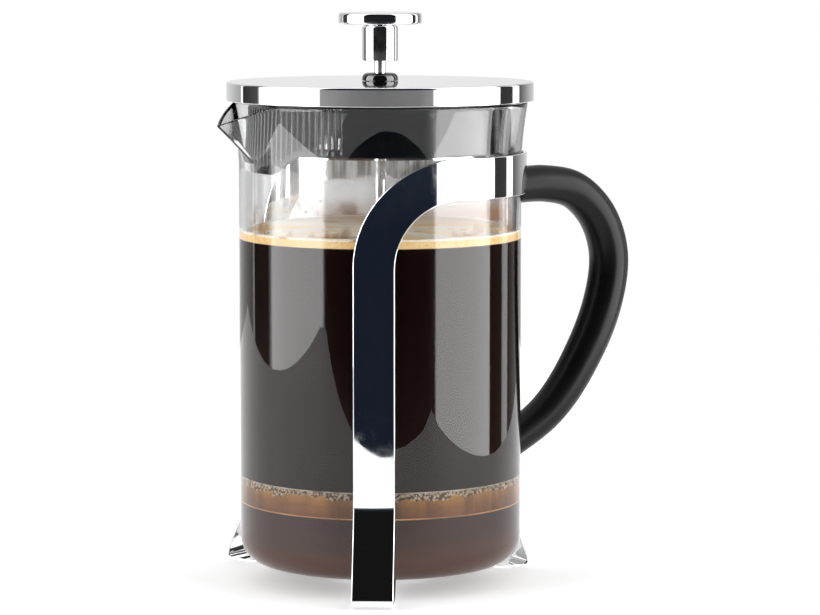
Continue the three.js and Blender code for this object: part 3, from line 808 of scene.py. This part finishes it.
def foot_path(r, flare_top_z):
    """Radius and height down the leg, round the foot and in under the beaker."""
    low = STRAP_T / 2
    bend_z = 4
    path = [Vector((STRAP_R, flare_top_z + above)) for above in (30, 5, 2, 1, 0.5, 0)]
    lean = (r - 0.36 * (0.5 * flare_top_z - bend_z), 0.5 * flare_top_z)
    path += curve_points(path[-1], (STRAP_R, 0.8 * flare_top_z), lean, (r, bend_z), steps=20)
    path += curve_points(path[-1], (r + 1, low), (r - 3.2, low))
    path += [Vector((r - 4.2, low)), Vector((r - 10.2, low)), Vector((r - 11.2, low))]
    path += curve_points(path[-1], (r - 16, low), (r - 18, ARM_Z), (r - 24, ARM_Z))
    return path + [Vector((ARM_END_R, ARM_Z))]


def frame_band():
    arch_start = LEG_ANGLE * STRAP_R - ARCH_R
    band_steps, arch_steps = 60, 28
    half = [wrapped_ring(arch_start * i / band_steps, BAND_Z, 0) for i in range(band_steps)]
    for i in range(arch_steps):
        turn = math.pi / 2 * i / arch_steps
        s = arch_start + ARCH_R * math.sin(turn)
        half.append(wrapped_ring(s, BAND_Z - ARCH_R * (1 - math.cos(turn)), -turn))
    leg = [Vector((STRAP_R, BAND_Z - ARCH_R))] + foot_path(*FRONT_FOOT)
    half += leg_rings(leg, LEG_ANGLE, FRONT_FOOT[1])
    mirrored = [[(x, -y, z) for x, y, z in ring] for ring in half[:0:-1]]
    shape = lofted(mirrored + half)
    make_piece("frame_band_steel", shape, STEEL, "frame", ["frame_band"], 50)


def handle_leg():
    lap_r = STRAP_R + STRAP_T + 0.3
    low_z = BAND_Z - STRAP_W / 2
    path = [Vector((lap_r, LAP_TOP_Z)), Vector((lap_r, low_z - 0.3))]
    path += curve_points(path[-1], (lap_r, low_z - 3), (STRAP_R, low_z - 3), (STRAP_R, low_z - 6))
    shape = lofted(leg_rings(path + foot_path(*HANDLE_FOOT), 0, HANDLE_FOOT[1]))
    make_piece("handle_leg_steel", shape, STEEL, "frame", ["handle_leg_strap"], 50)


# ---- handle ----
HANDLE_SPINE = [
    (54, 138.8), (66, 139), (78, 136.2), (88, 126.5), (92.7, 112.5),
    (90.4, 95), (81.6, 75), (68, 56.6), (46, 41.6),
]
HANDLE_HEEL_X = 52.4


def smooth_line(spots, per_span=40):
    """Points of a centripetal Catmull-Rom curve through the spots."""
    spots = [Vector(p) for p in spots]
    spots = [spots[0] * 2 - spots[1]] + spots + [spots[-1] * 2 - spots[-2]]
    line = []
    for p0, p1, p2, p3 in zip(spots, spots[1:], spots[2:], spots[3:]):
        t = [0.0]
        for a, b in ((p0, p1), (p1, p2), (p2, p3)):
            t.append(t[-1] + math.sqrt((b - a).length))
        for i in range(per_span):
            at = t[1] + (t[2] - t[1]) * i / per_span
            a1 = p0.lerp(p1, (at - t[0]) / (t[1] - t[0]))
            a2 = p1.lerp(p2, (at - t[1]) / (t[2] - t[1]))
            a3 = p2.lerp(p3, (at - t[2]) / (t[3] - t[2]))
            b1 = a1.lerp(a2, (at - t[0]) / (t[2] - t[0]))
            b2 = a2.lerp(a3, (at - t[1]) / (t[3] - t[1]))
            line.append(b1.lerp(b2, (at - t[1]) / (t[2] - t[1])))
    return line + [spots[-2]]


def handle():
    line = smooth_line(HANDLE_SPINE)
    lengths = [0.0]
    for a, b in zip(line, line[1:]):
        lengths.append(lengths[-1] + (b - a).length)
    sides = 48
    rings = []
    for k, centre in enumerate(line):
        along = lengths[k] / lengths[-1]
        travel = (line[min(k + 1, len(line) - 1)] - line[max(k - 1, 0)]).normalized()
        if k == 0:
            travel = Vector((1, 0))
        radius = 6.5 - 0.5 * along + 0.95 * math.sin(math.pi * along)
        radius -= 0.6 * (1 - smooth_step(lengths[k], 0, 0.6)) ** 2
        ring = []
        for i in range(sides):
            angle = 2 * math.pi * i / sides
            seam = 0.07 * math.exp(-((abs(math.sin(angle)) - 1) / 0.004) ** 2)
            across = (radius - seam) * math.cos(angle)
            up = (radius - seam) * math.sin(angle)
            x, z = centre.x - travel.y * up, centre.y + travel.x * up
            if x < HANDLE_HEEL_X and along > 0.5:
                z -= travel.y * (x - HANDLE_HEEL_X) / travel.x
                x = HANDLE_HEEL_X
            ring.append((x, -across, z))
        rings.append(ring)
        if along > 0.5 and all(x <= HANDLE_HEEL_X for x, _, _ in ring):
            break
    make_piece("handle_grip", lofted(rings), HANDLE_BLACK, "frame", ["handle"], 45)


# ---- lid ----
def lid_cover():
    top = LID_TOP_Z
    corners = [
        (LID_R - 0.8, LID_RIM_Z, 0.2), (LID_R, LID_RIM_Z, 0.3), (LID_R, top, 0.75),
        (LID_R / 2, top + LID_DOME * 0.8, 6), (5.3, top + LID_DOME, 0.1), (5.3, top + LID_DOME - 0.8, 0.1),
        (LID_R - 1.4, top - 0.8, 0.3), (LID_R - 0.8, top - 1.4, 0.3),
    ]
    shape = turned(rounded(corners, closed=True, steps=8), 240, closed=True)
    make_piece("lid_cover_steel", shape, STEEL, "lid", ["lid_cover"])


def skirt_dip(away):
    return SKIRT_DIP * (1 - smooth_step(away, *SKIRT_DIP_ANGLES))


def strainer():
    """The inner lid's skirt, with its slots cut and a rounded rib standing between each two; the ribs are
    the same black plastic, painted mid grey as painted highlights on top of the real ones they catch.
    """
    flange_r = LID_R - 1.1
    deck_top = LID_TOP_Z - 1.4
    deck_low = deck_top - 2
    inner_r = SKIRT_R - SKIRT_WALL
    corners = [
        (inner_r, SKIRT_BOTTOM_Z, 0.5), (SKIRT_R, SKIRT_BOTTOM_Z, 0.5), (SKIRT_R, BEAKER_RIM_Z + 0.3, 0.4),
        (flange_r, BEAKER_RIM_Z + 0.3, 0.3), (flange_r, deck_top, 0.5), (5.3, deck_top, 0.1),
        (5.3, deck_low, 0.1), (inner_r, deck_low, 0.6),
    ]

    def dipped(x, y, z, away):
        return (x, y, z - skirt_dip(away)) if z < SKIRT_BOTTOM_Z + 1 else (x, y, z)

    shape = reshaped(turned(rounded(corners, closed=True), 288, closed=True), dipped)
    piece = make_piece("strainer_skirt", shape, GLOSS_BLACK, "lid", ["strainer_insert"])
    slots, ribs = [], []
    for i in range(SLOT_COUNT):
        degrees = (i - (SLOT_COUNT - 1) / 2) * SLOT_PITCH
        angle = math.pi + math.radians(degrees)
        low = SKIRT_BOTTOM_Z + 3 - skirt_dip(abs(degrees))
        slots.append(radial_bar(angle, SKIRT_R - 4, SKIRT_R + 1, 0.45, low, 168))
        if i < SLOT_COUNT - 1:
            between = angle + math.radians(SLOT_PITCH / 2)
            low = SKIRT_BOTTOM_Z + 2.4 - skirt_dip(abs(degrees + SLOT_PITCH / 2))
            ribs.append(upright_rib(between, SKIRT_R - 0.3, 0.5, low, 169.3))
    cut(piece, merged(*slots))
    make_piece("strainer_ribs", merged(*ribs), RIB_PAINTED_HIGHLIGHT_GREY, "lid", sharp=60)


def radial_bar(angle, near, far, half_width, low, high):
    """A straight-sided block lying along a radius."""
    out = Vector((math.cos(angle), math.sin(angle), 0))
    side = Vector((-math.sin(angle), math.cos(angle), 0))
    flat = [(near, -half_width), (far, -half_width), (far, half_width), (near, half_width)]
    rings = []
    for z in (low, high):
        rings.append([tuple(out * r + side * s + Vector((0, 0, z))) for r, s in flat])
    return lofted(rings)


def upright_rib(angle, radius, size, low, high):
    """A thin round rib standing on the skirt, closing in at both ends."""
    spots = [(low, 0.05), (low + 0.4, 0.7), (low + 1, 1), (high - 1, 1), (high - 0.4, 0.7), (high, 0.05)]
    rings = []
    for z, share in spots:
        ring = arc(radius * math.cos(angle), radius * math.sin(angle), size * share, 0, 315, 7)
        rings.append([(x, y, z) for x, y in ring])
    return lofted(rings)


def bushing():
    corners = [
        (BORE_R, 169.5, 0.2), (5, 169.5, 0.3), (5, 177.5, 0), (6.4, 177.5, 0.15),
        (6.4, 180.3, 2.4), (BORE_R, 180.3, 0.4),
    ]
    shape = turned(rounded(corners, closed=True, steps=7), 72, closed=True)
    make_piece("bushing_puck", shape, BUSHING_BLACK, "lid_bushing", ["lid_bushing"])


# ---- plunger ----
def knob():
    disc = [
        (0, 199.3, 0), (BORE_R, 199.3, 0.1), (BORE_R, KNOB_Z, 0.2), (14.7, KNOB_Z, 0.9),
        (14.7, KNOB_TOP_Z, 1.2), (0, KNOB_TOP_Z, 0),
    ]
    shape = turned(rounded(disc, steps=8), 144)
    make_piece("knob_cap_steel", shape, STEEL, "plunger_head", ["knob_disc"])
    barrel = [
        (BORE_R, 184.5, 0.2), (6.35, 184.5, 0.5), (6.35, 197.1, 1.2), (BORE_R, 197.1, 0.2),
    ]
    shape = turned(rounded(barrel, closed=True, steps=8), 96, closed=True)
    make_piece("knob_neck_steel", shape, STEEL, "plunger_head", ["knob_barrel"])


def rod():
    outline = rounded([(0, 27.2, 0), (ROD_R, 27.2, 0.4), (ROD_R, 199, 0.4), (0, 199, 0)])
    make_piece("rod_steel", turned(outline, 48), STEEL, "plunger_rod", ["plunger_rod"])


def edge_spring():
    """A close coil bent into a ring round the filter's edge."""
    coils, steps_per_coil, wire = 120, 12, 0.42
    ring_r = FILTER_EDGE_R - 1.6
    coil_r = 1.6 - wire
    total = coils * steps_per_coil
    rings = []
    for k in range(total):
        around = 2 * math.pi * k / total
        turn = 2 * math.pi * k / steps_per_coil
        radial = Vector((math.cos(around), math.sin(around), 0))
        out = radial * math.cos(turn) + Vector((0, 0, math.sin(turn)))
        centre = radial * ring_r + out * coil_r + Vector((0, 0, SPRING_Z))
        along = Vector((-math.sin(around), math.cos(around), 0)) * 0.9 - radial * math.sin(turn)
        along += Vector((0, 0, math.cos(turn)))
        side = along.normalized().cross(out)
        rings.append([tuple(centre + (out * c + side * s) * wire) for c, s in arc(0, 0, 1, 0, 288, 4)])
    points, faces = lofted(rings + rings[:1], capped=False)
    count = len(rings) * 5
    faces = [tuple(i % count for i in face) for face in faces]
    shape = (points[:count], faces)
    make_piece("edge_spring_coil", shape, WIRE, "plunger_head", ["edge_spring"], 80)


def hole_ring(count, circle_r, hole_r, low, high):
    """Round cutters evenly spaced on a circle."""
    cutters = []
    for i in range(count):
        angle = 2 * math.pi * (i + 0.5) / count
        spot = (circle_r * math.cos(angle), circle_r * math.sin(angle))
        ring = arc(*spot, hole_r, 0, 360 - 15, 23)
        cutters.append(lofted([[(x, y, low) for x, y in ring], [(x, y, high) for x, y in ring]]))
    return cutters


def spring_plate():
    low = SPRING_Z - 0.9
    corners = [
        (BORE_R, low + 1.2, 0.1), (40.6, low + 1.2, 1), (42, low, 0.6), (43.6, low, 0.2),
        (43.6, low + 0.9, 0.2), (42.4, low + 0.9, 0.4), (41, low + 2.1, 1), (BORE_R, low + 2.1, 0.1),
    ]
    shape = turned(rounded(corners, closed=True), 144, closed=True)
    piece = make_piece("spring_plate_steel", shape, SHEET, "plunger_head", ["spring_plate"])
    cut(piece, merged(*hole_ring(12, 33, 3.2, low - 1, low + 4), *hole_ring(8, 19, 2.6, low - 1, low + 4)))


def filter_cloth():
    edge = FILTER_EDGE_R - 0.4
    corners = [(BORE_R, 32.5, 0), (edge, 32.5, 0.15), (edge, 33.1, 0.15), (BORE_R, 33.1, 0)]
    shape = turned(rounded(corners, closed=True), 144, closed=True)
    make_piece("filter_cloth", shape, woven_steel(), "plunger_head", ["filter_mesh"])


def cross_plate():
    low = 29.8
    corners = [
        (BORE_R, low, 0.1), (44, low, 0.6), (45.5, low + 1.2, 0.3), (45.5, low + 2.2, 0.3),
        (44.6, low + 2.2, 0.2), (43.5, low + 1.2, 0.6), (BORE_R, low + 1.2, 0.1),
    ]
    shape = turned(rounded(corners, closed=True), 144, closed=True)
    piece = make_piece("cross_plate_steel", shape, SHEET, "plunger_head", ["cross_plate"])
    windows = []
    for quarter in range(4):
        start, stop = quarter * 90 + 12, quarter * 90 + 78
        outline = arc(0, 0, 37, start, stop, 20) + arc(0, 0, 12, stop - 7, start + 7, 8)
        windows.append(lofted([[(x, y, z) for x, y in outline] for z in (low - 2, low + 4)]))
    cut(piece, merged(*windows))


# ---- assembly ----
add_camera()
studio_light()
add_floor()
beaker()
contents()
crema()
froth()
residue()
frame_band()
handle_leg()
handle()
lid_cover()
strainer()
bushing()
knob()
rod()
edge_spring()
spring_plate()
filter_cloth()
cross_plate()

PLAIN_PARTS = [
    "hub_plate", "hub_rivet_1", "hub_rivet_2", "hub_rivet_3", "handle_upper_screw",
    "handle_lower_screw", "bushing_nut", "filter_lock_nut", "cross_plate_hub",
]
for part in PLAIN_PARTS:
    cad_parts[part].material_slots[0].material = SHEET

bpy.context.scene.view_settings.view_transform = "Standard"
